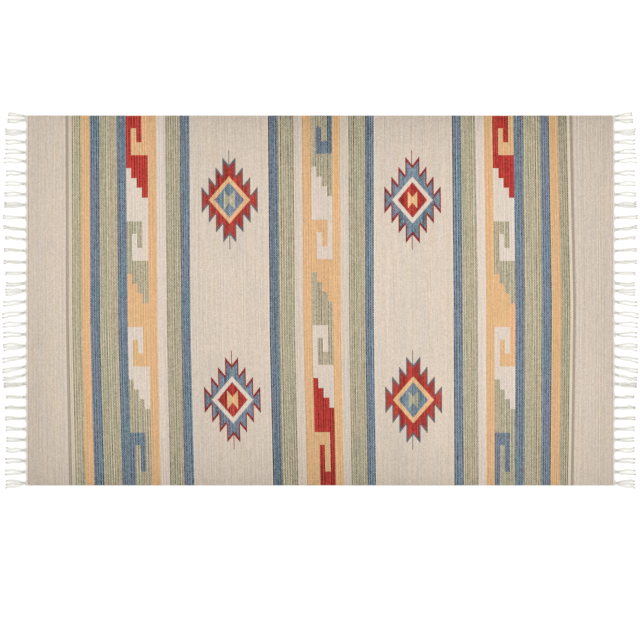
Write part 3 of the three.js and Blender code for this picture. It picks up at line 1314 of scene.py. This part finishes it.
@dataclass(frozen=True)
class EndCord:
    """The picks at the cloth's end, which wave over and under the warps and which the tassels draw out."""

    picks: int = 3
    start: float = HALF_LENGTH + 0.6
    end: float = HALF_LENGTH + 3.0
    reach: float = HALF_WIDTH - 0.5
    steps: int = 460
    draw: float = 4.2
    arc_power: float = 1.8
    wave: float = 0.25
    wave_length: float = 6.1
    height: float = 2.7
    height_change: float = 0.5
    radius: float = 1.15
    tone_change: float = 0.03


@dataclass(frozen=True)
class Gathering:
    """The warps that run together into a knot. They arch a little and fall towards it."""

    warps: int = 8
    steps: int = 6
    start: float = HALF_LENGTH + 0.4
    past_cord: float = 1.5
    rim: float = HALF_WIDTH - 1.5
    gathered: float = 1.6
    height: float = 3.0
    arch: float = 0.5
    fall: float = 0.8
    radius: float = 0.62
    tone_change: float = 0.05
    # How much painted shade darkens the warps as they run into the knot.
    shade: float = 0.2


@dataclass(frozen=True)
class Knot:
    """A tassel's knot: a neck with these widths at these shares of its length, and the yarn round it."""

    length: float = 9.0
    overlap: float = 0.5
    shares: tuple[float, ...] = (0.0, 0.2, 0.4, 0.52, 0.66, 0.8, 0.92, 1.0)
    widths: tuple[float, ...] = (2.6, 2.3, 1.9, 2.2, 2.9, 3.0, 2.5, 1.9)
    girth: float = 0.56
    flatness: float = 0.62
    least_height: float = 1.2
    lift: float = 0.2
    # How much painted shade darkens the neck.
    shade: float = 0.35
    turns: float = 2.6
    coil_steps: int = 24
    coil_start: float = 0.52
    coil_length: float = 0.34
    coil_reach: float = 2.2
    coil_height: float = 2.15
    coil_radius: float = 0.6
    # How much painted shade darkens the wound yarn.
    coil_shade: float = 0.25


@dataclass(frozen=True)
class Strand:
    """A strand of a tassel: plies twisted round each other, that fan out, sway, and fray at the tip."""

    length: float = 42.0
    length_change: float = 2.0
    width: float = 3.3
    parting: float = 4.0
    crowded: float = 0.8
    spread_root: float = 1.0
    spread_tip: float = 3.7
    spread_change: float = 1.3
    sway: float = 1.3
    sway_turns: float = 1.15
    own_sway: float = 0.9
    own_turns: float = 1.5
    own_turns_change: float = 0.6
    plies: int = 3
    ply_offset: float = 0.62
    ply_rise: float = 0.5
    ply_girth: float = 0.5
    lift: float = 0.1
    least_lift: float = 0.05
    twist: float = 6.4
    steps_per_twist: int = 7
    fray_start: float = 0.86
    fray_spread: float = 0.6
    fray_thinning: float = 0.3
    tone_change: float = 0.05
    # How much darker the strand grows towards its frayed tip.
    tip_darkening: float = 0.3
    # Painted shade near the strand's root, over this share of its length.
    root_shade: float = 0.2
    root_share: float = 0.12

    def fan(self, share: np.ndarray, index: int, order: int, strands: int) -> np.ndarray:
        """How far a strand stands off its tassel's middle, at shares of its length."""
        place = order - (strands - 1) / 2
        crowding = self.crowded if strands > 2 else 1.0
        tip = self.spread_tip + self.spread_change * uneven(index, 2)
        parted = 1 - (1 - share) ** self.parting
        return place * 2 * crowding * (self.spread_root + (tip - self.spread_root) * parted)

    def bend(self, share: np.ndarray, index: int, order: int) -> np.ndarray:
        """How far a strand sways, with its tassel and by itself, at shares of its length."""
        turn = 2 * math.pi * share
        together = self.sway * np.sin(self.sway_turns * turn + math.pi * uneven(index, 3))
        own_turns = self.own_turns + self.own_turns_change * uneven(index * 2 + order, 8)
        return share * (together + self.own_sway * np.sin(own_turns * turn + 4 * order + index))


@dataclass
class TasselRow:
    """One end's fringe: the drawn-out end cord, the warps that run into the knots, and the tassels."""

    name: str
    side: int
    count: int = 36
    first: float = 452.0
    last: float = -449.5
    threefold: tuple[int, ...] = (2, 9, 17, 22, 26, 35)
    lean_share: float = 0.25
    cord: EndCord = EndCord()
    gathering: Gathering = Gathering()
    knot: Knot = Knot()
    strand: Strand = Strand()

    def _lay(self, index: float, column: int) -> float:
        """One column of the lay table at a tassel."""
        rows = np.array(TASSEL_LAY)
        return float(np.interp(index, rows[:, 0], rows[:, column]))

    def root(self, index: int) -> float:
        """The Y at which a tassel leaves the end cord."""
        even = self.first + index / (self.count - 1) * (self.last - self.first)
        return even + self._lay(index, 1)

    def build(self, finishes: list[bpy.types.Material]) -> bpy.types.Object:
        """Makes the fringe.

        Args:
            finishes: the fringe's cotton and the cord's.

        Returns:
            The piece, placed in its mesh.
        """
        yarns = YarnMesh()
        self._add_cord(yarns)
        for index in range(self.count):
            self._add_warps(yarns, index)
            self._add_knot(yarns, index)
            strands = 3 if index in self.threefold else 2
            for order in range(strands):
                self._add_strand(yarns, index, order, strands)
        return yarns.piece(self.name, finishes)

    def _edge(self, y: np.ndarray) -> np.ndarray:
        """How far the end cord is drawn out at places along Y."""
        roots = np.array([self.root(index) for index in range(self.count)])[::-1]
        after = np.clip(np.searchsorted(roots, y), 1, self.count - 1)
        share = np.clip((y - roots[after - 1]) / (roots[after] - roots[after - 1]), 0, 1)
        return self.cord.draw * np.abs(1 - 2 * share) ** self.cord.arc_power

    def _add_cord(self, yarns: YarnMesh) -> None:
        """Adds the end cord's picks, each a little further out and drawn out a little more."""
        cord = self.cord
        y = np.linspace(-cord.reach, cord.reach, cord.steps)
        drawn = self._edge(y)
        for order in range(cord.picks):
            share = (order + 0.5) / cord.picks
            out = cord.start + share * (cord.end - cord.start + drawn)
            turn = y * 2 * math.pi / cord.wave_length + order * math.pi
            x = self.side * (out + cord.wave * np.sin(turn))
            z = cord.height + cord.height_change * np.cos(turn)
            tone = cord.tone_change * uneven(order, 5)
            yarns.tube(np.stack([x, y, z], -1), cord.radius, sides=5, tone=tone, finish=1)

    def _add_warps(self, yarns: YarnMesh, index: int) -> None:
        """Adds the warps that leave the cloth and run together into a tassel's knot."""
        given, root = self.gathering, self.root(index)
        reach = 0.5 * (self.first - self.last) / (self.count - 1)
        share = np.linspace(0, 1, given.steps)
        ease = share * share * (3 - 2 * share)
        end = self.cord.end + self.cord.draw + given.past_cord
        x = self.side * (given.start + share * (end - given.start))
        z = given.height + given.arch * np.sin(share * math.pi) - given.fall * share
        for order in range(given.warps):
            off = (order + 0.5) / given.warps * 2 - 1
            y = root + off * (reach * (1 - ease) + given.gathered * ease)
            path = np.stack([x, np.clip(y, -given.rim, given.rim), z], -1)
            # Painted shade grows on the warps as they near the knot.
            tone = given.tone_change * uneven(index * given.warps + order, 6) - given.shade * share**3
            yarns.tube(path, given.radius, sides=4, tone=tone)

    def _add_knot(self, yarns: YarnMesh, index: int) -> None:
        """Adds a tassel's neck and the yarn that is wound round it."""
        knot, root = self.knot, self.root(index)
        lean = self._lay(index, 2) * self.lean_share
        start = self.cord.end + self.cord.draw - knot.overlap
        length = knot.length - knot.overlap
        shares, widths = np.array(knot.shares), np.array(knot.widths)
        z = np.maximum(knot.flatness * widths, knot.least_height) + knot.lift
        neck = np.stack([self.side * (start + shares * length), root + shares * lean, z], -1)
        # The neck is darkened with painted shade.
        yarns.tube(neck, knot.girth * widths + knot.lift, sides=7, tone=-knot.shade)
        turn = np.linspace(0, knot.turns * 2 * math.pi, knot.coil_steps)
        along = knot.coil_start + knot.coil_length * turn / turn[-1]
        y = root + along * lean + knot.coil_reach * np.cos(turn)
        z = knot.coil_height + knot.flatness * knot.coil_reach * np.sin(turn)
        coil = np.stack([self.side * (start + along * length), y, z], -1)
        # The wound yarn is darkened with painted shade.
        yarns.tube(coil, knot.coil_radius, sides=4, tone=-knot.coil_shade)

    def _add_strand(self, yarns: YarnMesh, index: int, order: int, strands: int) -> None:
        """Adds one strand of a tassel, ply by ply.

        Args:
            yarns: the mesh to add to.
            index: the tassel's number.
            order: the strand's number in its tassel.
            strands: how many strands the tassel has.
        """
        given = self.strand
        start = self.cord.end + self.cord.draw + self.knot.length - given.width
        length = given.length + self._lay(index, 3) + given.length_change * uneven(index * 3 + order, 1)
        share = np.linspace(0, 1, round(length / given.twist * given.steps_per_twist) + 1)
        leaning = self._lay(index, 2) * (self.lean_share + (1 - self.lean_share) * share)
        x = self.side * (start + share * length)
        y = self.root(index) + leaning + given.fan(share, index, order, strands)
        y += given.bend(share, index, order)
        frayed = np.clip((share - given.fray_start) / (1 - given.fray_start), 0, 1)
        girth = given.width / 2
        offset = given.ply_offset * girth * (1 + given.fray_spread * frayed)
        radius = given.ply_girth * girth * (1 - given.fray_thinning * frayed)
        # Darker towards the frayed tip, and painted shade near the root.
        shade = given.tip_darkening * frayed + given.root_shade * np.clip(1 - share / given.root_share, 0, 1)
        turn = 2 * math.pi * share * length / given.twist + uneven(index + order, 4) * math.pi
        for ply in range(given.plies):
            angle = turn + ply * 2 * math.pi / given.plies
            z = girth + given.lift + given.ply_rise * girth * np.sin(angle)
            path = np.stack([x, y + offset * np.cos(angle), np.maximum(z, radius + given.least_lift)], -1)
            tone = given.tone_change * uneven(index * 6 + order * 2 + ply, 7)
            yarns.tube(path, radius, sides=5, tone=tone - shade)


@dataclass
class Studio:
    """The pale floor, the soft light over it and the camera straight above."""

    floor_size: float = 14.0
    floor_drop: float = 0.0003
    floor_tone: float = 0.96
    room_light: float = 1.02
    box_size: tuple[float, float] = (1.3, 0.4)
    box_place: tuple[float, float, float] = (0.08, 0.22, 1.15)
    box_tilt: float = -0.17
    box_power: float = 5.0
    camera_place: tuple[float, float, float] = (-0.0007, -0.0482, 3.0665)
    lens: float = 70.0

    def build(self) -> None:
        """Sets up the whole studio."""
        self._floor()
        self._lights()
        self._camera()

    def _floor(self) -> None:
        """Lays the floor just below the rug."""
        bpy.ops.object.select_all(action="DESELECT")
        bpy.ops.mesh.primitive_plane_add(size=self.floor_size, location=(0, 0, -self.floor_drop))
        floor = bpy.context.object
        floor.name = "floor"
        material, nodes = new_material("Pale floor")
        surface = nodes.add("ShaderNodeBsdfPrincipled")
        surface.inputs["Base Color"].default_value = (*[self.floor_tone] * 3, 1)
        surface.inputs["Roughness"].default_value = 0.9
        output = nodes.add("ShaderNodeOutputMaterial")
        nodes.feed(output.inputs["Surface"], surface.outputs[0])
        floor.data.materials.append(material)

    def _lights(self) -> None:
        """Hangs a soft box over the rug in an evenly bright room, and keeps the weave's grain in view."""
        scene = bpy.context.scene
        scene.view_settings.view_transform = "Standard"
        scene.cycles.denoising_prefilter = "NONE"
        world = bpy.data.worlds.new("Studio")
        world.use_nodes = True
        scene.world = world
        nodes = Nodes(world.node_tree)
        background = nodes.add("ShaderNodeBackground")
        background.inputs["Color"].default_value = (1, 1, 1, 1)
        background.inputs["Strength"].default_value = self.room_light
        output = nodes.add("ShaderNodeOutputWorld")
        nodes.feed(output.inputs["Surface"], background.outputs[0])
        lamp = bpy.data.lights.new("Soft box", "AREA")
        lamp.shape = "RECTANGLE"
        lamp.size, lamp.size_y = self.box_size
        lamp.energy = self.box_power
        box = put_in_scene("Soft box", lamp)
        box.location = self.box_place
        box.rotation_euler = (self.box_tilt, 0, 0)
        box.visible_camera = False

    def _camera(self) -> None:
        """Places the camera straight above, looking down."""
        lens = bpy.data.cameras.new("Overhead")
        lens.lens = self.lens
        camera = put_in_scene("Overhead", lens)
        camera.location = self.camera_place
        bpy.context.scene.camera = camera


def dress(piece: bpy.types.Object, node: str) -> None:
    """Ties a finished piece to the frame and reports it.

    Args:
        piece: the piece.
        node: the CAD node that it replaces.
    """
    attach(piece, "root")
    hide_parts(node)
    log.info("%s: %d points, %d faces", piece.name, len(piece.data.vertices), len(piece.data.polygons))


def main() -> None:
    """Builds the studio and the rug."""
    logging.basicConfig(level=logging.INFO, format="%(name)s %(message)s")
    Studio().build()
    fibre = cotton_fibre()
    woven = WovenCotton().material(fibre)
    fringe = FringeCotton().material(fibre)
    cord = FringeCotton("End cord cotton", (238, 228, 216), (236, 223, 207), bleach=1.0).material(fibre)
    cloth = WovenField(Draft()).build(woven)
    dress(cloth, "woven_field")
    for name, side in (("left_fringe", -1), ("right_fringe", 1)):
        row = TasselRow(f"{name}_yarns", side).build([fringe, cord])
        dress(row, name)


if __name__ == "__main__":
    main()
